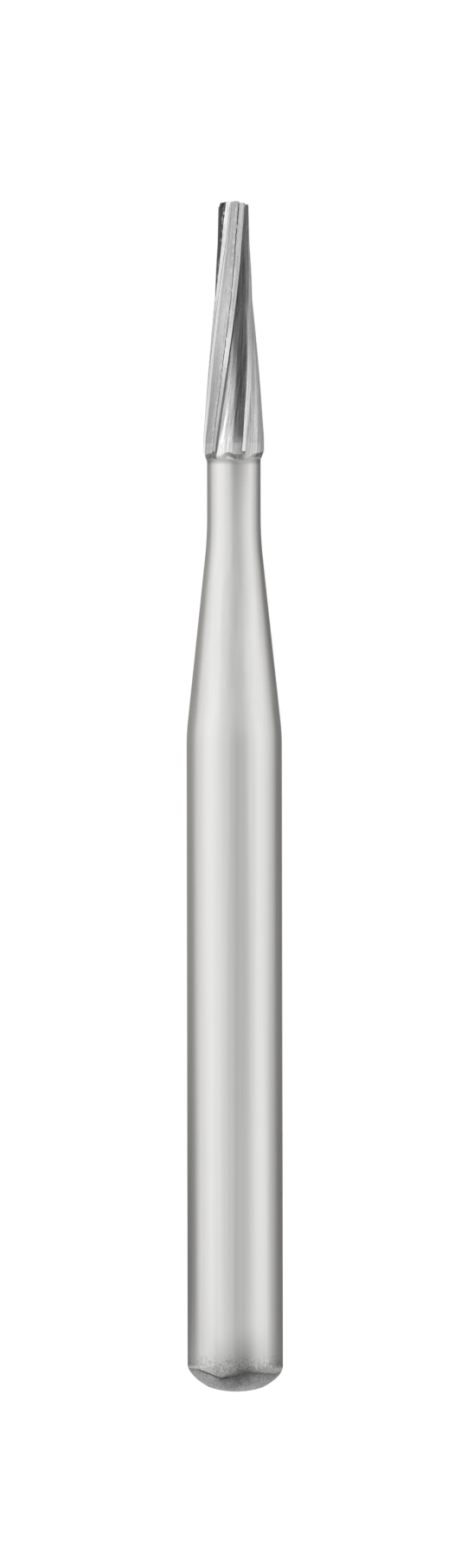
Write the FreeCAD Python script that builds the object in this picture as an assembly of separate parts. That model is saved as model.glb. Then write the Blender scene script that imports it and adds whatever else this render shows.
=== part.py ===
# Dental bur: a friction-grip shank in stainless steel with a brazed tungsten carbide head,
# a tapered fissure form with six helical blades.
# Millimetres. The bur stands on its axis with the head up. The origin is on the axis,
# at the rear end of the cylindrical shank wall, where the rounded end begins.

import FreeCAD, Part
import math
import os

os.makedirs("parts", exist_ok=True)

# Shank and neck, turned from one rod
shank_radius = 0.80
shank_corner_height = 10.57      # where the cylinder and the cone would meet in a sharp corner
shank_corner_blend = 4.0
neck_radius = 0.45
neck_corner_height = 13.85       # where the cone and the neck would meet in a sharp corner
neck_corner_blend = 6.7

# Rounded rear end: a shallow dome, and a full rounding from its edge to the wall
end_height = 0.457
dome_edge_radius = 0.463
dome_edge_height = -0.377
dome_flat_radius = 0.25          # as far out as the dome would stay flat if it had a corner
rounding_corner_height = -0.19   # where the dome edge's slope meets the wall

# Head envelope, before the flutes are cut
shoulder_height = 15.295
joint_height = 15.43             # butt joint between steel and carbide
taper_start_height = 15.53       # below this the head is almost parallel
taper_end_height = 18.755
tip_height = 19.483
head_base_radius = 0.512
taper_start_radius = 0.508
taper_end_radius = 0.268
tip_radius = 0.251
tip_rim_drop = 0.020             # how far the rim of the coned end lies below its centre
tip_chamfer = 0.034
shoulder_slope_height = 0.11
shoulder_foot_radius = 0.468
shoulder_foot_height = 0.17      # shoulder and its fillet together
shoulder_fillet_corner = 15.16   # where the neck would meet the shoulder's slope

# Blades: a narrow land on the envelope, a steep rake wall on its right, and a back that
# rises from the gullet to the next land
blade_count = 6
land_width_base = 0.066
land_width_tip = 0.118
flute_depth = 0.058
flute_depth_base = 0.036
depth_run_out = 0.90             # height over which the flutes grow shallow towards the shoulder
rake_tilt = 9.0                  # degrees that the rake wall leans back from the radius
back_fullness = 0.46             # depth at the middle of the back, as a part of the full depth
first_edge_angle = -35.8         # of one cutting edge at the joint, from -Y towards +X
twist_at_joint = 13.9            # degrees for each millimetre of height
twist_growth = 3.42              # by how much that grows in each millimetre
flute_stations = 13
cutter_margin = 0.12             # how far a flute cutter reaches outside the envelope


def point(radius, height):
    return FreeCAD.Vector(radius, 0, height)


def line(start, end):
    return Part.LineSegment(start, end).toShape()


def arc(start, middle, end):
    return Part.Arc(start, middle, end).toShape()


def curve(start, corner, end):
    """A smooth curve that leaves start towards the corner and comes into end from it."""
    bezier = Part.BezierCurve()
    bezier.setPoles([start, corner, end])
    return bezier.toShape()


def blend_at_corner(before, corner, after, radius):
    """Start, corner and end of the blend between two straight runs."""
    towards_before = (before - corner).normalize()
    towards_after = (after - corner).normalize()
    half_angle = towards_before.getAngle(towards_after) / 2
    reach = radius / math.tan(half_angle)
    return corner + towards_before * reach, corner, corner + towards_after * reach


def revolve_outline(edges):
    wire = Part.Wire(edges)
    face = Part.Face(wire)
    return face.revolve(FreeCAD.Vector(0, 0, 0), FreeCAD.Vector(0, 0, 1), 360)


def head_radius(height):
    """Radius of the blade envelope: a long taper between an almost parallel base and tip."""
    outline = [
        (shoulder_height, head_base_radius),
        (taper_start_height, taper_start_radius),
        (taper_end_height, taper_end_radius),
        (tip_height, tip_radius),
    ]
    for (low, low_radius), (high, high_radius) in zip(outline, outline[1:]):
        if height < high:
            break
    return low_radius + (height - low) / (high - low) * (high_radius - low_radius)


def shank_blank():
    """Everything below the joint: rounded end, cylinder, cone, neck, shoulder and band."""
    bottom = point(0, -end_height)
    dome_edge = point(dome_edge_radius, dome_edge_height)
    wall_start = point(shank_radius, 0)
    shank_corner = point(shank_radius, shank_corner_height)
    neck_corner = point(neck_radius, neck_corner_height)
    neck_top = point(neck_radius, shoulder_height - shoulder_foot_height)
    shank_blend = blend_at_corner(wall_start, shank_corner, neck_corner, shank_corner_blend)
    neck_blend = blend_at_corner(shank_corner, neck_corner, neck_top, neck_corner_blend)
    shoulder_foot = point(shoulder_foot_radius, shoulder_height - shoulder_slope_height)
    shoulder_top = point(head_base_radius, shoulder_height)
    joint_rim = point(head_radius(joint_height), joint_height)
    joint_centre = point(0, joint_height)
    return revolve_outline([
        curve(bottom, point(dome_flat_radius, -end_height), dome_edge),
        curve(dome_edge, point(shank_radius, rounding_corner_height), wall_start),
        line(wall_start, shank_blend[0]),
        curve(*shank_blend),
        line(shank_blend[2], neck_blend[0]),
        curve(*neck_blend),
        line(neck_blend[2], neck_top),
        curve(neck_top, point(neck_radius, shoulder_fillet_corner), shoulder_foot),
        line(shoulder_foot, shoulder_top),
        line(shoulder_top, joint_rim),
        line(joint_rim, joint_centre),
        line(joint_centre, bottom),
    ])


def head_blank():
    """The carbide above the joint, with a slightly coned end and a small chamfer round it."""
    joint_centre = point(0, joint_height)
    joint_rim = point(head_radius(joint_height), joint_height)
    taper_start = point(taper_start_radius, taper_start_height)
    taper_end = point(taper_end_radius, taper_end_height)
    rim_height = tip_height - tip_rim_drop
    chamfer_start = point(tip_radius, rim_height - tip_chamfer)
    chamfer_end = point(tip_radius - tip_chamfer, rim_height)
    tip_centre = point(0, tip_height)
    return revolve_outline([
        line(joint_centre, joint_rim),
        line(joint_rim, taper_start),
        line(taper_start, taper_end),
        line(taper_end, chamfer_start),
        line(chamfer_start, chamfer_end),
        line(chamfer_end, tip_centre),
        line(tip_centre, joint_centre),
    ])


def edge_angle(height):
    """Direction of the first cutting edge at this height, in radians from +X."""
    rise = height - joint_height
    turned = twist_at_joint * rise + twist_growth * rise ** 2 / 2
    return math.radians(first_edge_angle + turned - 90)


def depth_at(height):
    """Flute depth: constant, and shallower over the last stretch before the shoulder."""
    above_shoulder = (height - shoulder_height) / depth_run_out
    share = min(1, max(-0.5, above_shoulder))
    return flute_depth_base + share * (flute_depth - flute_depth_base)


def land_angle(height):
    share = (height - joint_height) / (tip_height - joint_height)
    width = land_width_base + share * (land_width_tip - land_width_base)
    return width / head_radius(height)


def flute_section(height):
    """Outline of one flute cutter: rake wall, curved back and a closing line outside."""
    radius = head_radius(height)
    depth = depth_at(height)
    edge = edge_angle(height)
    heel = edge + 2 * math.pi / blade_count - land_angle(height)

    def at(distance, angle):
        return FreeCAD.Vector(distance * math.cos(angle), distance * math.sin(angle), height)

    lean = math.tan(math.radians(rake_tilt))
    gullet = edge + depth * lean / radius
    wall_outside = at(radius + cutter_margin, edge - cutter_margin * lean / radius)
    wall_foot = at(radius - depth, gullet)
    back_middle = at(radius - depth * back_fullness, (gullet + heel) / 2)
    back_top = at(radius, heel)
    back_outside = at(radius + cutter_margin, heel + cutter_margin / radius * 0.15)
    return Part.Wire([
        line(wall_outside, wall_foot),
        arc(wall_foot, back_middle, back_top),
        line(back_top, back_outside),
        line(back_outside, wall_outside),
    ])


def flute_cutters():
    bottom = shoulder_height - shoulder_foot_height
    top = tip_height + cutter_margin
    step = (top - bottom) / (flute_stations - 1)
    sections = [flute_section(bottom + step * index) for index in range(flute_stations)]
    cutter = Part.makeLoft(sections, True, False)
    cutters = []
    for index in range(blade_count):
        turned = cutter.copy()
        turned.rotate(
            FreeCAD.Vector(0, 0, 0), FreeCAD.Vector(0, 0, 1), index * 360 / blade_count
        )
        cutters.append(turned)
    return cutters


def fluted(blank, cutters):
    solids = blank.cut(cutters).Solids
    return max(solids, key=lambda solid: solid.Volume)


def save(shape, node):
    print(node, "valid", shape.isValid(), "volume", round(shape.Volume, 4), "mm3")
    shape.exportStep("parts/" + node + ".step")


cutters = flute_cutters()
save(fluted(shank_blank(), cutters), "steel_shank")
save(fluted(head_blank(), cutters), "carbide_head")
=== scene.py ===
import math

import bmesh
import bpy
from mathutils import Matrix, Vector, noise


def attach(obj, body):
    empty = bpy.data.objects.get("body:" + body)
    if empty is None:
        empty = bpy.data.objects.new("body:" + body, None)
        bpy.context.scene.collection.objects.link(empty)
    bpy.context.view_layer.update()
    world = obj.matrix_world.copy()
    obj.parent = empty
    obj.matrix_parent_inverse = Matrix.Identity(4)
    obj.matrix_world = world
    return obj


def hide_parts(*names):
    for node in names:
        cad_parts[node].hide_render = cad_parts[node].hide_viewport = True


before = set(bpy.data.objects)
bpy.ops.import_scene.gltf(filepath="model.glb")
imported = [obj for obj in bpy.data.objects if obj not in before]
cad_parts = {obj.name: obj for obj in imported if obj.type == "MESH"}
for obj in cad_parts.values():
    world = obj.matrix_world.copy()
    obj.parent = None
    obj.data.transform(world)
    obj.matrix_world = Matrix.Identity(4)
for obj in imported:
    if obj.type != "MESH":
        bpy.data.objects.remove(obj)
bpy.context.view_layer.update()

mm = 0.001  # everything below is laid out in millimetres and scaled once, at the end of each piece

# The blades, as a maker would write them down. Angles run round the axis from the front towards +X.
blades = {
    "count": 6,
    "pointsAcross": 44,  # on each blade: wall, gullet, back, heel and land together
    "wallPoints": 5,
    "landPoints": 11,
    "outline": ((15.295, 0.512), (15.53, 0.508), (18.755, 0.268), (19.483, 0.251)),  # height, radius
    "jointHeight": 15.43,
    "edgeAtJoint": -35.8, "twist": 13.9, "twistGrowth": 3.42,
    "landAtJoint": 0.066, "landAtTip": 0.118,
    "depth": 0.058, "depthAtBase": 0.036, "runOut": 0.90,
    "rakeLean": 9.0,
    "backCurve": 0.16,
    "heelStep": 0.008,  # the back stops this far below the land
    "gulletRound": 0.005, "gulletShare": 14,
    "landRise": 0.004,  # from the heel up to the land, measured along the surface
    "heelWander": 0.0028, "heelPitch": 0.05, "heelLongPitch": 0.16,
    "edgeWander": 0.0015, "edgePitch": 0.07,
    "chipDepth": 0.008, "chipPitch": 0.045, "chipLongPitch": 0.4, "chipFrom": 0.22,
}
baseHeight, baseRadius = blades["outline"][0]
tipHeight = blades["outline"][-1][0]


def headRadius(z):
    outline = blades["outline"]
    for (low, lowRadius), (high, highRadius) in zip(outline, outline[1:]):
        if z < high:
            break
    return lowRadius + (z - low) / (high - low) * (highRadius - lowRadius)


def edgeAngle(z):
    rise = z - blades["jointHeight"]
    turned = blades["twist"] * rise + blades["twistGrowth"] * rise ** 2 / 2
    return math.radians(blades["edgeAtJoint"] + turned)


def fluteDepth(z):
    b = blades
    t = min(1, max(0, (z - baseHeight) / b["runOut"]))
    return b["depthAtBase"] + t * (b["depth"] - b["depthAtBase"])


def wander(z, seed, pitch):  # slow noise along one edge, between -1 and 1
    return noise.noise(Vector((z / pitch, seed * 7.31, 0.5)))


def edgeRoughness(z, blade):
    return blades["edgeWander"] * wander(z, blade + 40, blades["edgePitch"])


# Where one vertex of a ring lies: index counts round the ring, one blade after another
def bladePlace(index, z):
    b = blades
    across = b["pointsAcross"]
    blade, step = divmod(index, across)
    radius = headRadius(z)
    depth = fluteDepth(z)
    pitch = 2 * math.pi / b["count"]
    edge = edgeAngle(z) + blade * pitch
    lean = math.tan(math.radians(b["rakeLean"])) * depth / radius
    t = (z - b["jointHeight"]) / (tipHeight - b["jointHeight"])
    land = (b["landAtJoint"] + t * (b["landAtTip"] - b["landAtJoint"])) / radius
    backPoints = across - b["wallPoints"] - b["landPoints"]
    rough = wander(z, blade, b["heelPitch"]) + 0.6 * wander(z, blade + 20, b["heelLongPitch"])
    heel = edge + pitch - land + rough * b["heelWander"] / radius
    chips = wander(z, blade + 60, b["chipPitch"]) + 0.35 * wander(z, blade + 80, b["chipLongPitch"])
    chip = b["chipDepth"] * max(0, chips - b["chipFrom"])
    if step < b["wallPoints"]:
        s = step / b["wallPoints"]
        start = edge + edgeRoughness(z, blade) / radius
        drop = chip * 0.35 * max(0, 1 - s * 4)
        return start + (edge + lean - start) * s, radius - depth * s - drop
    if step < b["wallPoints"] + backPoints:
        s = (step - b["wallPoints"]) / backPoints
        gullet = edge + lean
        below = b["heelStep"] + (depth - b["heelStep"]) * (1 - s) * (1 - b["backCurve"] * s)
        below -= b["gulletRound"] * math.exp(-s * b["gulletShare"])
        return gullet + (heel - gullet) * s, radius - below
    s = (step - b["wallPoints"] - backPoints) / b["landPoints"]
    if step == b["wallPoints"] + backPoints:
        return heel, radius - b["heelStep"] - chip * 0.5
    start = heel + b["landRise"] / radius
    nextEdge = edge + pitch + edgeRoughness(z, (blade + 1) % b["count"]) / radius
    drop = chip * max(0, 1 - (s - 0.09) * 4)
    first = 1 / b["landPoints"]
    return start + (nextEdge - start) * (s - first) / (1 - first), radius - drop


ringPoints = blades["count"] * blades["pointsAcross"]


# A full spin of a profile, given as (radius, height) in millimetres, with one vertex per step.
def spinProfile(profile):
    bm = bmesh.new()
    line = [bm.verts.new((max(r, 0), 0, z)) for r, z in profile]
    edges = [bm.edges.new(pair) for pair in zip(line, line[1:])]
    bmesh.ops.spin(bm, geom=line + edges, cent=(0, 0, 0), axis=(0, 0, 1), angle=2 * math.pi,
                   steps=ringPoints, use_merge=True)
    return bm


def ringIndex(vert):
    turn = math.atan2(vert.co.y, vert.co.x) / (2 * math.pi)
    return round(turn * ringPoints) % ringPoints


# Moves every vertex of a spun profile to its place on the blades, or keeps it on the plain round.
def carve(bm, placeOf):
    uv = bm.loops.layers.uv.new("bladeMap")
    step = bm.verts.layers.float.new("step")
    index = {v: ringIndex(v) for v in bm.verts}
    pole = {v for v in bm.verts if Vector(v.co.xy).length < 1e-6}
    for face in bm.faces:
        around = [index[v] for v in face.verts if v not in pole]
        wraps = max(around) - min(around) > ringPoints / 2
        for loop in face.loops:
            place = index[loop.vert]
            if loop.vert in pole:
                place = sum(around) / len(around)
            elif wraps and place < ringPoints / 2:
                place += ringPoints
            loop[uv].uv = (place / blades["pointsAcross"], loop.vert.co.z)
    for v in bm.verts:
        if v in pole:
            continue
        angle, radius, v[step] = placeOf(index[v], v.co.z, Vector(v.co.xy).length)
        v.co.x, v.co.y = radius * math.sin(angle), -radius * math.cos(angle)
    bmesh.ops.remove_doubles(bm, verts=bm.verts, dist=1e-6)
    bmesh.ops.recalc_face_normals(bm, faces=bm.faces)


def finishPiece(bm, name, node, material, sharpAngle):
    for face in bm.faces:
        face.smooth = True
    for edge in bm.edges:
        edge.smooth = edge.calc_face_angle(0) < math.radians(sharpAngle)
    bmesh.ops.scale(bm, vec=(mm, mm, mm), verts=bm.verts)
    mesh = bpy.data.meshes.new(name)
    bm.to_mesh(mesh)
    bm.free()
    piece = bpy.data.objects.new(name, mesh)
    bpy.context.collection.objects.link(piece)
    mesh.materials.append(material)
    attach(piece, "root")
    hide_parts(node)
    print("made", name, len(mesh.vertices), "vertices")
    return piece


def bend(start, corner, end, steps):  # points along a smooth curve, without its start
    points = []
    for i in range(1, steps + 1):
        t = i / steps
        points.append(tuple(
            (1 - t) ** 2 * a + 2 * t * (1 - t) * b + t ** 2 * c for a, b, c in zip(start, corner, end)
        ))
    return points


def straight(start, end, steps):
    return [tuple(a + (b - a) * i / steps for a, b in zip(start, end)) for i in range(1, steps + 1)]


# Shader maths: a socket that can be added, multiplied and compared.
class Wire:
    def __init__(self, graph, socket):
        self.graph = graph
        self.socket = socket

    def math(self, operation, *others):
        return self.graph.node("ShaderNodeMath", {"operation": operation}, dict(enumerate((self, *others))))

    def __add__(self, other):
        return self.math("ADD", other)

    def __sub__(self, other):
        return self.math("SUBTRACT", other)

    def __rsub__(self, other):
        return self.graph.node("ShaderNodeMath", {"operation": "SUBTRACT"}, {0: other, 1: self})

    def __mul__(self, other):
        return self.math("MULTIPLY", other)

    def __truediv__(self, other):
        return self.math("DIVIDE", other)

    def __gt__(self, other):
        return self.math("GREATER_THAN", other)

    def __lt__(self, other):
        return self.math("LESS_THAN", other)

    def output(self, index):
        return Wire(self.graph, self.socket.node.outputs[index])

    __radd__ = __add__
    __rmul__ = __mul__


def grey(level):
    return level, level, level, 1


class Graph:
    def __init__(self, owner):  # a new material or world
        owner.use_nodes = True
        self.owner = owner
        self.tree = owner.node_tree
        self.tree.nodes.clear()

    def node(self, kind, settings=None, inputs=None, out=0):
        made = self.tree.nodes.new(kind)
        for key, value in (settings or {}).items():
            if key == "stops":
                while len(made.color_ramp.elements) < len(value):
                    made.color_ramp.elements.new(1)
                for element, (position, level) in zip(made.color_ramp.elements, value):
                    element.position = position
                    element.color = grey(level)
            elif key == "steps":
                made.color_ramp.interpolation = "CONSTANT"
            else:
                setattr(made, key, value)
        for key, value in (inputs or {}).items():
            if isinstance(value, Wire):
                self.tree.links.new(value.socket, made.inputs[key])
            else:
                made.inputs[key].default_value = value
        return Wire(self, made.outputs[out]) if len(made.outputs) else None

    def ramp(self, stops, factor):
        return self.node("ShaderNodeValToRGB", {"stops": stops}, {0: factor})

    def noise(self, vector, scale, detail=2, rough=0.5):
        return self.node("ShaderNodeTexNoise", {}, {
            "Vector": vector, "Scale": scale, "Detail": detail, "Roughness": rough})

    def stretched(self, source, scale, place=(0, 0, 0)):
        return self.node("ShaderNodeMapping", {}, {"Vector": source, "Scale": scale, "Location": place})

    def blend(self, factor, a, b):
        return self.node("ShaderNodeMix", {"data_type": "RGBA"}, {0: factor, 6: a, 7: b}, out=2)

    def mixed(self, factor, a, b):
        return self.node("ShaderNodeMix", {"data_type": "FLOAT"}, {0: factor, 2: a, 3: b})

    def scaled(self, colour, factor):
        combined = self.node("ShaderNodeCombineXYZ", {}, {0: factor, 1: factor, 2: factor})
        return self.node("ShaderNodeVectorMath", {"operation": "MULTIPLY"}, {
            0: colour[:3] if isinstance(colour, tuple) else colour, 1: combined})

    def finish(self, colour, roughness, metal, relief):  # relief in millimetres
        bump = self.node("ShaderNodeBump", {}, {"Height": relief * mm, "Strength": 1, "Distance": 1})
        shader = self.node("ShaderNodeBsdfPrincipled", {}, {
            "Base Color": colour, "Roughness": roughness, "Metallic": metal, "Normal": bump})
        self.node("ShaderNodeOutputMaterial", {}, {"Surface": shader})

    def soft(self, value, low, high):
        return self.node("ShaderNodeMapRange", {"interpolation_type": "SMOOTHSTEP"}, {
            "Value": value, "From Min": low, "From Max": high})


# Ground blades, on the carbide and on the steel just below it. Their tones are painted light and shade:
# each blade is lighter or darker by how it faces the light, one value per blade, from the one that
# starts at edgeAtJoint on. Those that begin with low are the painted tones of the lower half.
carbide = {
    "backs": (0.60, 0.52, 0.55, 0.55, 0.06, 0.56), "lowBacks": (0.68, 0.57, 0.55, 0.55, 0.52, 0.48),
    "backMatt": (0.0, 0.45, 0.2, 0.2, 0.0, 0.60),
    "backRoughness": (0.29, 0.42, 0.35, 0.35, 0.30, 0.46),
    "walls": (0.03, 0.45, 0.45, 0.45, 0.13, 0.95), "lowWalls": (0.24, 0.80, 0.45, 0.45, 0.50, 0.95),
    "wallMatt": 0.85, "wallRoughness": 0.5,
    "lands": (0.54, 0.60, 0.60, 0.60, 0.95, 0.88), "lowLands": (0.98, 0.60, 0.60, 0.60, 0.80, 0.50),
    "landMatt": (0.40, 0.3, 0.3, 0.3, 0.46, 0.42), "landRoughness": 0.46,
    "lineDepth": 0.0036, "grainDepth": 0.0007,
    "lineTones": (0.78, 0.58, 0.6, 0.6, 0.4, 0.34), "landTone": 0.46, "grainTone": 0.26,
}
# the same painted light and shade for each blade, on the fluted steel
steelBand = {
    "backs": (0.70, 0.66, 0.64, 0.64, 0.64, 0.66), "lowBacks": (0.70, 0.66, 0.64, 0.64, 0.64, 0.66),
    "backMatt": (0.1, 0.3, 0.2, 0.2, 0.2, 0.4),
    "backRoughness": (0.38, 0.42, 0.40, 0.40, 0.40, 0.44),
    "walls": (0.22, 0.8, 0.6, 0.6, 0.6, 0.9), "lowWalls": (0.22, 0.8, 0.6, 0.6, 0.6, 0.9),
    "wallMatt": 0.6, "wallRoughness": 0.5,
    "lands": (0.86, 0.6, 0.6, 0.6, 0.7, 0.62), "lowLands": (0.86, 0.6, 0.6, 0.6, 0.7, 0.56),
    "landMatt": (0.75, 0.3, 0.3, 0.3, 0.3, 0.3), "landRoughness": 0.5,
    "lineDepth": 0.0026, "grainDepth": 0.0007,
    "lineTones": (0.46, 0.4, 0.4, 0.4, 0.4, 0.30), "landTone": 0.40, "grainTone": 0.20,
}
# Painted highlight, painted shade and painted crevice shade in lines along the heel of each blade, in
# millimetres from where the land starts
heelPaintedLight = {
    "dark": -0.016, "darkUpper": -0.009, "bright": -0.036, "brightUpper": -0.060, "shade": -0.055,
    "creviceShadeEnds": (0.004, 0.004, 0.004, 0.004, 0.018, 0.007),
    "strength": (0.12, 0.3, 0.3, 0.3, 1.0, 1.0),
    "creviceShadeTone": 0.07, "highlightTone": 0.66, "paintedShadeTone": 0.34, "matt": 0.9, "wander": 0.013,
}
# Grinding lines and grain: the scales run across the blades and along them
grind = {
    "fineScale": (19, 1.8, 1), "broadScale": (8, 0.5, 1), "grainScale": 52000,
    "raggedScale": (1.5, 14, 1), "burrScale": (3, 8, 1),
    "lowerFade": (17.3, 16.1), "upperFade": (17.2, 17.9),  # heights
}


def perBlade(g, across, values):
    stops = [(k / blades["count"], value) for k, value in enumerate(values)]
    turn = (across / blades["count"]).math("FRACT")
    return g.node("ShaderNodeValToRGB", {"stops": stops, "steps": True}, {0: turn})


def heelDistance(g, uv, across, landStart):  # in millimetres, along the surface
    (lowHeight, lowRadius), (highHeight, highRadius) = blades["outline"][1:3]
    slope = (highRadius - lowRadius) / (highHeight - lowHeight)
    pitch = ((across.output(1) - lowHeight) * slope + lowRadius) * (2 * math.pi / blades["count"])
    ragged = g.noise(g.stretched(uv, grind["raggedScale"], (0, 0, 4)), 1, 3, 0.65) - 0.5
    return (across.math("FRACT") - landStart) * pitch + ragged * heelPaintedLight["wander"]


def heelPaintedLightMasks(g, uv, across, heel, upper):  # the painted highlight, painted shade and painted crevice shade along the heel, broken up by burrs
    strength = perBlade(g, across, heelPaintedLight["strength"])
    burr = g.noise(g.stretched(uv, grind["burrScale"], (0, 0, 9)), 1, 3, 0.6)
    brightStart = upper * (heelPaintedLight["brightUpper"] - heelPaintedLight["bright"]) + heelPaintedLight["bright"]
    darkStart = upper * (heelPaintedLight["darkUpper"] - heelPaintedLight["dark"]) + heelPaintedLight["dark"]
    paintedHighlight = (heel > brightStart) * (heel < darkStart) * g.soft(burr, 0.40, 0.64) * strength
    paintedShade = (heel > heelPaintedLight["shade"]) * (heel < heelPaintedLight["bright"]) * g.soft(burr, 0.60, 0.44)
    paintedShade = paintedShade * strength * (1 - upper) * 0.5
    paintedCreviceShade = (heel > darkStart) * (heel < perBlade(g, across, heelPaintedLight["creviceShadeEnds"]))
    paintedCreviceShade = paintedCreviceShade * g.soft(burr, 0.30, 0.48) * strength
    return paintedHighlight, paintedShade, paintedCreviceShade


# Colour, roughness, metal and relief over the wall, back, heel and land of every blade; the colour holds
# painted light and shade for each blade and along the heel
def bladeFinishAndPaintedLight(g, finish):
    uv = g.node("ShaderNodeUVMap", {"uv_map": "bladeMap"})
    across = g.node("ShaderNodeSeparateXYZ", {}, {0: uv})
    height = across.output(1)
    landStart = 1 - (blades["landPoints"] - 0.6) / blades["pointsAcross"]
    isLand = across.math("FRACT") > landStart
    isWall = across.math("FRACT") < (blades["wallPoints"] + 0.3) / blades["pointsAcross"]
    upper = g.soft(height, *grind["upperFade"])
    lower = g.soft(height, *grind["lowerFade"])
    heel = heelDistance(g, uv, across, landStart)
    paintedHighlight, paintedShade, paintedCreviceShade = heelPaintedLightMasks(g, uv, across, heel, upper)

    fine = g.noise(g.stretched(uv, grind["fineScale"]), 1, 3, 0.6)
    broad = g.noise(g.stretched(uv, grind["broadScale"], (3, 5, 0)), 1, 2, 0.5)
    grain = g.noise(g.node("ShaderNodeTexCoord", {}, {}, out=3), grind["grainScale"], 3, 0.65)
    streak = g.soft(fine * 0.5 + broad * 0.5, 0.38, 0.62) - 0.55
    grainTone = (g.soft(grain, 0.30, 0.70) - 0.5) * finish["grainTone"] + 1

    # the painted light and shade of each blade, upper and lower half
    def tone(zone, lowZone):
        high, low = perBlade(g, across, finish[zone]), perBlade(g, across, finish[lowZone])
        return g.blend(lower, high, low)

    lineTone = streak * perBlade(g, across, finish["lineTones"]) + 1
    back = g.scaled(tone("backs", "lowBacks"), lineTone * grainTone)
    land = g.scaled(tone("lands", "lowLands"), (streak * finish["landTone"] + 1) * grainTone)
    wall = g.scaled(tone("walls", "lowWalls"), (broad - 0.5) * 0.6 + 1)
    colour = g.blend(isLand, g.blend(isWall, back, wall), land)
    # painted shade, painted highlight and painted crevice shade along the heel
    colour = g.blend(paintedShade, colour, grey(heelPaintedLight["paintedShadeTone"]))
    colour = g.blend(paintedHighlight, colour, grey(heelPaintedLight["highlightTone"]))
    colour = g.blend(paintedCreviceShade, colour, grey(heelPaintedLight["creviceShadeTone"]))

    roughness = g.mixed(isWall, perBlade(g, across, finish["backRoughness"]), finish["wallRoughness"])
    roughness = g.mixed(isLand, roughness, finish["landRoughness"]) + (broad - 0.5) * 0.12
    matt = g.mixed(isWall, perBlade(g, across, finish["backMatt"]), finish["wallMatt"])
    matt = g.mixed(isLand, matt, perBlade(g, across, finish["landMatt"]))
    matt = g.mixed(paintedHighlight.math("MAXIMUM", paintedCreviceShade), matt, heelPaintedLight["matt"])
    lines = ((fine - 0.5) + (broad - 0.5) * 0.6) * (1 - isLand) * (1 - isWall) * finish["lineDepth"]
    relief = lines + (grain - 0.5) * finish["grainDepth"]
    return colour, roughness, 1 - matt, relief


def carbideMaterial():
    g = Graph(bpy.data.materials.new("groundCarbide"))
    g.finish(*bladeFinishAndPaintedLight(g, carbide))
    return g.owner


# Stainless steel: satin, with fine streaks that follow the axis, and painted shade on the step under the
# blades
steel = {
    "light": (0.775, 0.772, 0.760, 1), "dark": (0.645, 0.642, 0.630, 1), "roughness": 0.36,
    "streakDepth": 0.0014, "streakScale": (9000, 9000, 90), "broadScale": (2600, 2600, 60),
    "gritScale": 26000, "edgeScale": (3600, 3600, 900), "edgeNoise": 0.030,
    # The ground end, round the axis from the rear: how far below the wall it starts, how much painted shade
    # and roughness it has above and below that edge, and the painted shade of a groove along the edge
    "endEdge": ((0.0, 0.10), (0.25, 0.045), (0.361, 0.075), (0.447, 0.215), (0.50, 0.165),
                (0.537, 0.100), (0.576, 0.116), (0.669, 0.150), (0.75, 0.10), (1.0, 0.10)),
    "shadeAndWear": ((0.0, 0.30), (0.20, 0.10), (0.33, 0.0), (0.40, 0.03), (0.422, 0.26), (0.442, 0.50),
             (0.467, 0.58), (0.494, 0.77), (0.511, 0.99), (0.539, 0.93), (0.566, 0.58), (0.586, 0.40),
             (0.62, 0.26), (0.667, 0.40), (1.0, 0.30)),
    "shadeAndWearShare": 0.57,
    "grooveShade": ((0.0, 0.3), (0.33, 0.3), (0.37, 0.75), (0.46, 0.62), (0.50, 0.10), (0.57, 0.30), (1.0, 0.3)),
    "shadow": ((0.0, 0.1), (0.33, 0.05), (0.41, 0.0), (0.44, 0.20), (0.47, 0.48), (0.52, 0.44),
               (0.56, 0.34), (0.60, 0.26), (0.68, 0.25), (1.0, 0.1)),
    "speckle": 0.30,
    "endLight": 0.52, "endDark": 0.28, "endRoughness": 0.55, "endDepth": 0.003,
    "stepShadeLight": 0.30, "stepShadeDark": 0.10, "stepRoughness": 0.62, "stepDepth": 0.003,
    "stepMatt": 0.5, "lipHeight": 15.135, "lipShade": 0.34, "lipReach": 0.085,
    "bandRise": 0.035,  # the fluted steel starts this far above the neck
}


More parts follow.
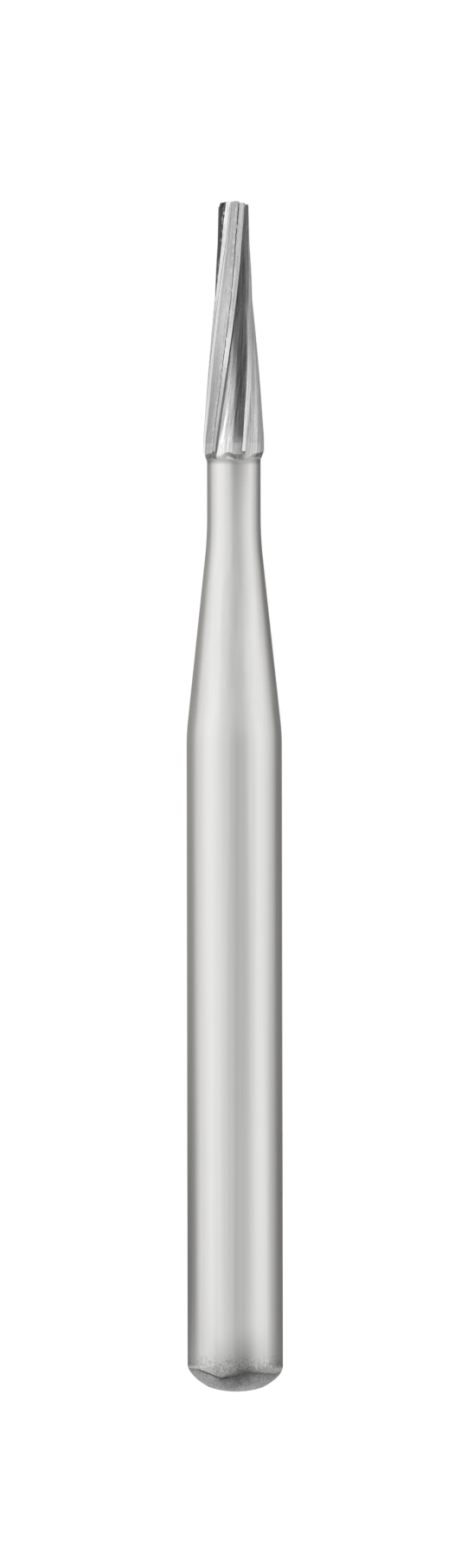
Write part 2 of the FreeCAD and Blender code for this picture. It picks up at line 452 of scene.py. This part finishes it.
def steelMaterial():  # the ground rear end, the plain turned steel, the fluted band and the step
    g = Graph(bpy.data.materials.new("satinSteel"))
    place = g.node("ShaderNodeTexCoord", {}, {}, out=3)
    spread = g.node("ShaderNodeSeparateXYZ", {}, {0: place})
    z = spread.output(2) / mm
    streaks = g.noise(g.stretched(place, steel["streakScale"]), 1, 4, 0.6)
    broad = g.noise(g.stretched(place, steel["broadScale"], (5, 1, 2)), 1, 2, 0.5)
    level = (streaks - 0.5) * 0.6 + (broad - 0.5) * 0.6
    colour = g.blend(g.soft(level, -0.3, 0.3), steel["dark"], steel["light"])
    grit = g.noise(place, steel["gritScale"], 3, 0.6)
    turn = spread.math("ARCTAN2", spread.output(1) * -1) / (2 * math.pi) + 0.5
    edgeNoise = g.noise(g.stretched(place, steel["edgeScale"]), 1, 3, 0.6)
    aboveEdge = z + g.ramp(steel["endEdge"], turn)
    aboveEdge = aboveEdge + (edgeNoise - 0.5) * steel["edgeNoise"]
    ground = g.soft(aboveEdge, 0.006, -0.006)
    endTone = g.blend(g.soft(grit, 0.3, 0.7), grey(steel["endDark"]), grey(steel["endLight"]))
    colour = g.blend(ground, colour, endTone)
    # painted shade round the ground edge, darkest at the front; the same band is rougher
    shadeAndWear = g.soft(aboveEdge, 0.9, 0.0) * g.soft(aboveEdge, -0.34, -0.10)
    shadeAndWear = shadeAndWear * g.ramp(steel["shadeAndWear"], turn) * steel["shadeAndWearShare"]
    # painted shade of a groove along the edge
    grooveShade = g.soft(aboveEdge.math("ABSOLUTE"), 0.030, 0.004)
    grooveShade = grooveShade * g.ramp(steel["grooveShade"], turn)
    shadow = g.soft(aboveEdge.math("ABSOLUTE"), 0.13, 0.0)
    shadow = shadow * g.ramp(steel["shadow"], turn)
    speckle = g.soft(z + (grit - 0.5) * 0.5, 0.20, -0.06) * g.soft(grit, 0.60, 0.42) * steel["speckle"]
    colour = g.scaled(colour, (1 - shadeAndWear) * (1 - shadow) * (1 - grooveShade) * (1 - speckle * (1 - ground)))
    roughness = (streaks - 0.5) * 0.14 + steel["roughness"]
    roughness = g.mixed(ground.math("MAXIMUM", shadeAndWear), roughness, steel["endRoughness"])
    relief = level * steel["streakDepth"] + ground * (grit - 0.5) * steel["endDepth"]
    bandColour, bandRoughness, bandMetal, bandRelief = bladeFinishAndPaintedLight(g, steelBand)
    step = g.node("ShaderNodeAttribute", {"attribute_name": "step"}, {}, out=2)
    isBand = (z > shank["neckTop"] + steel["bandRise"]) * (1 - step)
    colour = g.blend(isBand, colour, bandColour)
    roughness = g.mixed(isBand, roughness, bandRoughness)
    metal = g.mixed(isBand, 1, bandMetal)
    relief = g.mixed(isBand, relief, bandRelief)
    # the step under the blades: painted shade, dark grey with grit
    stepShadeTone = g.blend(g.soft(grit, 0.35, 0.65), grey(steel["stepShadeDark"]), grey(steel["stepShadeLight"]))
    colour = g.blend(step, colour, stepShadeTone)
    roughness = g.mixed(step, roughness, steel["stepRoughness"])
    relief = relief + step * (grit - 0.5) * steel["stepDepth"]
    underLip = g.soft((z - steel["lipHeight"]).math("ABSOLUTE"), steel["lipReach"], 0)
    colour = g.scaled(colour, 1 - underLip * steel["lipShade"] * (1 - step))
    metal = g.mixed(step, metal, 1 - steel["stepMatt"])
    g.finish(colour, roughness, metal, relief)
    return g.owner


# The steel: rounded end, shank, cone, neck, shoulder, and the last of the flutes above it
shank = {
    "radius": 0.80, "cornerHeight": 10.57, "cornerBlend": 4.0,
    "neckRadius": 0.45, "neckCornerHeight": 13.85, "neckBlend": 6.7,
    "endHeight": -0.457, "domeEdge": (0.463, -0.377), "domeFlat": 0.25, "roundingCorner": -0.19,
    "shoulderFoot": (0.468, 15.185), "neckTop": 15.125, "filletCorner": 15.16,
    "carveRun": 0.12,  # the rings turn with the blades from this far below the top of the neck
    "burrAngle": 17, "burrWidth": 20, "burrDrop": 0.026,  # a lip of braze below one blade
    "archAngle": -12, "archWidth": 9, "archRise": 0.036,  # and an arch ground into it
    "stepNoise": 0.012, "stepTilt": 0.012,
    "stepShade": (0.85, 1.0, 0.7, 0.7, 0.7, 1.0), "stepShadeRise": 0.014,  # painted shade on the step under each blade
    "endShift": 0.016, "endShiftRun": 0.2,
}


def blendCorner(before, corner, after, radius):
    before, corner, after = Vector(before), Vector(corner), Vector(after)
    a, b = (before - corner).normalized(), (after - corner).normalized()
    reach = radius / math.tan(a.angle(b) / 2)
    return tuple(corner + a * reach), tuple(corner), tuple(corner + b * reach)


stepOutline = [
    (shank["neckRadius"], shank["neckTop"]),
    *bend((shank["neckRadius"], shank["neckTop"]), (shank["neckRadius"], shank["filletCorner"]),
          shank["shoulderFoot"], 10),
    (baseRadius, baseHeight), (baseRadius, blades["jointHeight"]),
]


def shankProfile():
    s = shank
    bottom, domeEdge, wallStart = (0, s["endHeight"]), s["domeEdge"], (s["radius"], 0)
    corner, neckCorner = (s["radius"], s["cornerHeight"]), (s["neckRadius"], s["neckCornerHeight"])
    neckTop = (s["neckRadius"], s["neckTop"])
    shankBlend = blendCorner(wallStart, corner, neckCorner, s["cornerBlend"])
    neckBlend = blendCorner(corner, neckCorner, neckTop, s["neckBlend"])
    carveStart = (s["neckRadius"], s["neckTop"] - s["carveRun"])
    rim = (headRadius(blades["jointHeight"]), blades["jointHeight"])
    return [
        bottom,
        *bend(bottom, (s["domeFlat"], s["endHeight"]), domeEdge, 14),
        *bend(domeEdge, (s["radius"], s["roundingCorner"]), wallStart, 18),
        *straight(wallStart, shankBlend[0], 8),
        *bend(*shankBlend, 12),
        *straight(shankBlend[2], neckBlend[0], 6),
        *bend(*neckBlend, 14),
        *straight(neckBlend[2], carveStart, 4),
        *straight(carveStart, neckTop, 8),
        *bend(neckTop, (s["neckRadius"], s["filletCorner"]), s["shoulderFoot"], 12),
        *straight(s["shoulderFoot"], (baseRadius, baseHeight), 12),
        *straight((baseRadius, baseHeight), rim, 8),
        *[(rim[0] * (1 - i / 5), rim[1]) for i in range(1, 6)],
    ]


def stepRadius(z):  # the shoulder's own outline, without the flutes
    for (lowRadius, low), (highRadius, high) in zip(stepOutline, stepOutline[1:]):
        if z < high:
            break
    t = max(0, (z - low) / (high - low))
    return lowRadius + t * (highRadius - lowRadius)


def stepDrop(angle):  # how far the shoulder hangs below its place, all round
    s = shank
    turn = math.degrees(math.remainder(angle, 2 * math.pi))
    lip = math.exp(-((turn - s["burrAngle"]) / s["burrWidth"]) ** 4)
    arch = math.exp(-((turn - s["archAngle"]) / s["archWidth"]) ** 2)
    around = Vector((math.sin(angle) * 2.6, math.cos(angle) * 2.6, 4.7))
    even = s["burrDrop"] * lip - s["archRise"] * arch - s["stepTilt"] * math.sin(angle)
    return even + s["stepNoise"] * noise.noise(around)


def shankPlace(index, z, radius):
    carveStart = shank["neckTop"] - shank["carveRun"]
    if z < carveStart:
        return bladePlace(index, carveStart)[0], radius, 0
    angle, bladeRadius = bladePlace(index, z)
    if z > blades["jointHeight"] - 1e-6:
        return angle, bladeRadius * radius / headRadius(z), 0
    if z > baseHeight:
        return angle, bladeRadius, 0
    lipRadius = stepRadius(z + stepDrop(angle))
    # how much painted shade the step gets under each blade
    blade, share = divmod(index / blades["pointsAcross"], 1)
    stepShade = min(1, max(0.15, (share - 0.2) / 0.3)) * shank["stepShade"][int(blade)]
    rise = (lipRadius - shank["neckRadius"]) / shank["stepShadeRise"]
    onStep = min(1, max(0, rise - 0.3)) * (lipRadius < bladeRadius)
    return angle, min(bladeRadius, lipRadius), onStep * stepShade


# The head: rings up the taper and the near-parallel tip, then a shallow cone to close the end
tip = {
    "rimDrop": 0.010, "chamfer": 0.008, "rings": 200,
    "raggedness": 0.014, "coarseScale": 9, "fineScale": 30,
    "brokenHeight": 0.14, "brokenRun": 0.012,
    # Steps broken out of the end: side, distance out from the axis, and depth
    "broken": ((-1, 0.04, 0.018), (-1, 0.222, 0.075), (1, 0.080, 0.016), (1, 0.176, 0.036)),
}
tipRim = tipHeight - tip["rimDrop"]
tipWall = tipRim - tip["chamfer"]


def headProfile():
    joint, rings = blades["jointHeight"], tip["rings"]
    heights = [joint + (tipWall - joint) * i / rings for i in range(rings + 1)]
    rim = headRadius(tipWall) - tip["chamfer"]
    return [
        *[(headRadius(joint) * i / 5, joint) for i in range(5)],
        *[(headRadius(z), z) for z in heights],
        *[(rim * (1 - i / 10), tipRim + tip["rimDrop"] * i / 10) for i in range(11)],
    ]


def headPlace(index, z, radius):
    height = min(z, tipWall)
    angle, bladeRadius = bladePlace(index, height)
    return angle, bladeRadius * radius / headRadius(height), 0


def roughenTip(bm):  # the ground end is a little uneven where the blades run out
    foot = tipHeight - tip["brokenHeight"]
    for v in bm.verts:
        if v.co.z <= foot:
            continue
        t = (v.co.z - foot) / tip["brokenHeight"]
        coarse = noise.noise(Vector((v.co.x * tip["coarseScale"], v.co.y * tip["coarseScale"], 2.7)))
        fine = noise.noise(Vector((v.co.x * tip["fineScale"], v.co.y * tip["fineScale"], 8.1)))
        v.co.z += tip["raggedness"] * t * (coarse * 1.3 + fine * 0.7 - 0.3)
        for side, start, drop in tip["broken"]:
            v.co.z -= t * drop * min(1, max(0, (side * v.co.x - start) / tip["brokenRun"]))


carbideFinish = carbideMaterial()
steelFinish = steelMaterial()
print("materials ready")

shankMesh = spinProfile(shankProfile())
carve(shankMesh, shankPlace)
for vert in shankMesh.verts:  # the end was ground by hand, a little off the axis
    vert.co.x += shank["endShift"] * min(1, max(0, -vert.co.z / shank["endShiftRun"]))
shankPiece = finishPiece(shankMesh, "steelShank", "steel_shank", steelFinish, 32)

headMesh = spinProfile(headProfile())
carve(headMesh, headPlace)
roughenTip(headMesh)
headPiece = finishPiece(headMesh, "carbideHead", "carbide_head", carbideFinish, 32)

# Studio: a white floor, and grey flags beside the bur that only its metal sees
studio = {
    "white": 1.0, "floorDrop": 6.0, "floorSize": 400, "floorGlow": 0.22, "paper": 0.85,
    "rearTint": (1, 0.985, 0.93, 1), "rearFrom": 140,  # the cards behind are a warmer grey
    "cards": {
        "softboxLeft": {"from": -78, "to": -40, "distance": 60, "low": -60, "high": 80, "level": 1.24},
        "softboxRight": {"from": 50, "to": 87, "distance": 60, "low": -60, "high": 80, "level": 1.15},
        "flagRight": {"from": 87, "to": 113, "distance": 60, "low": -60, "high": 80, "level": 0.79},
        "flagRearLeft": {"from": -110, "to": -172, "distance": 60, "low": -60, "high": 80, "level": 0.34},
        "flagRearRight": {"from": 113, "to": 162, "distance": 60, "low": -60, "high": 80, "level": 0.16},
        "flagLowLeft": {"from": -100, "to": -180, "distance": 58, "low": -60, "high": 3, "level": 0.06},
        "flagLowRight": {"from": 96, "to": 178, "distance": 58, "low": -60, "high": 3, "level": 0.09},
        "flagFront": {"from": -12, "to": 30, "distance": 60, "low": -60, "high": 15, "level": 0.45},
        "flagFrontHigh": {"from": -12, "to": 30, "distance": 60, "low": 15, "high": 80, "level": 0.76},
        "flagHead": {"from": -14, "to": 64, "distance": 5, "low": 15.5, "high": 23, "level": 0.07},
        "flagHeadLeft": {"from": -60, "to": -14, "distance": 5, "low": 18.6, "high": 20.0, "level": 0.05},
        "flagTipRight": {"from": 64, "to": 116, "distance": 5, "low": 18.4, "high": 24, "level": 0.20},
        "flagTipLeft": {"from": -118, "to": -194, "distance": 5, "low": 17.6, "high": 24, "level": 0.05},
    },
}


def glowMaterial(name, card):
    g = Graph(bpy.data.materials.new(name))
    tint = studio["rearTint"] if abs(card["to"]) > studio["rearFrom"] else grey(1)
    glow = g.node("ShaderNodeEmission", {}, {"Color": tint, "Strength": card["level"]})
    g.node("ShaderNodeOutputMaterial", {}, {"Surface": glow})
    return g.owner


def makeFlag(name, card):
    bm = bmesh.new()
    start = math.radians(card["from"])
    turn = math.radians(card["to"] - card["from"])
    reach = card["distance"] * mm
    foot = bm.verts.new((reach * math.sin(start), -reach * math.cos(start), card["low"] * mm))
    head = bm.verts.new((foot.co.x, foot.co.y, card["high"] * mm))
    rib = bm.edges.new((foot, head))
    bmesh.ops.spin(bm, geom=[foot, head, rib], cent=(0, 0, 0), axis=(0, 0, 1), angle=turn, steps=16)
    mesh = bpy.data.meshes.new(name)
    bm.to_mesh(mesh)
    bm.free()
    flag = bpy.data.objects.new(name, mesh)
    mesh.materials.append(glowMaterial(name, card))
    flag.visible_camera = flag.visible_diffuse = flag.visible_shadow = False
    bpy.context.collection.objects.link(flag)


for flagName, flagCard in studio["cards"].items():
    makeFlag(flagName, flagCard)


def floorMaterial():  # pale paper, which the camera sees as white
    g = Graph(bpy.data.materials.new("whiteFloor"))
    isCamera = g.node("ShaderNodeLightPath")
    paper = g.node("ShaderNodeBsdfDiffuse", {}, {"Color": grey(studio["paper"])})
    glow = g.node("ShaderNodeEmission", {}, {"Color": grey(1), "Strength": isCamera * studio["floorGlow"]})
    both = g.node("ShaderNodeAddShader", {}, {0: paper, 1: glow})
    g.node("ShaderNodeOutputMaterial", {}, {"Surface": both})
    return g.owner


def makeFloor():
    height = (shank["endHeight"] - studio["floorDrop"]) * mm
    bm = bmesh.new()
    bmesh.ops.create_grid(bm, x_segments=1, y_segments=1, size=studio["floorSize"] * mm)
    bmesh.ops.translate(bm, verts=bm.verts, vec=(0, 0, height))
    mesh = bpy.data.meshes.new("studioFloor")
    bm.to_mesh(mesh)
    bm.free()
    mesh.materials.append(floorMaterial())
    floor = bpy.data.objects.new("studioFloor", mesh)
    bpy.context.collection.objects.link(floor)


def makeWorld():
    g = Graph(bpy.data.worlds.new("whiteStudio"))
    back = g.node("ShaderNodeBackground", {}, {"Color": grey(1), "Strength": studio["white"]})
    g.node("ShaderNodeOutputWorld", {}, {"Surface": back})
    bpy.context.scene.world = g.owner


makeFloor()
makeWorld()

# Camera: a long lens, level with the middle of the frame
view = {
    "imageWidth": 533, "imageHeight": 1811, "pixelSize": 0.014506, "lens": 400, "sensor": 36,
    "tipRow": 232.7, "centreColumn": 270.95,  # where the photograph has the tip and the axis
    "lean": 0.09, "clip": (0.01, 2),
}
frameHeight = view["imageHeight"] * view["pixelSize"]
distance = frameHeight * view["lens"] / view["sensor"]
middleHeight = tipHeight - (view["imageHeight"] / 2 - view["tipRow"]) * view["pixelSize"]
side = (view["imageWidth"] / 2 - view["centreColumn"]) * view["pixelSize"]
cameraData = bpy.data.cameras.new("studioCamera")
cameraData.lens = view["lens"]
cameraData.sensor_width = view["sensor"]
cameraData.clip_start, cameraData.clip_end = view["clip"]
camera = bpy.data.objects.new("studioCamera", cameraData)
bpy.context.collection.objects.link(camera)
camera.location = (side * mm, -distance * mm, middleHeight * mm)
camera.rotation_euler = (math.radians(90), math.radians(view["lean"]), 0)
bpy.context.scene.camera = camera
bpy.context.scene.view_settings.view_transform = "Standard"
print("studio ready")
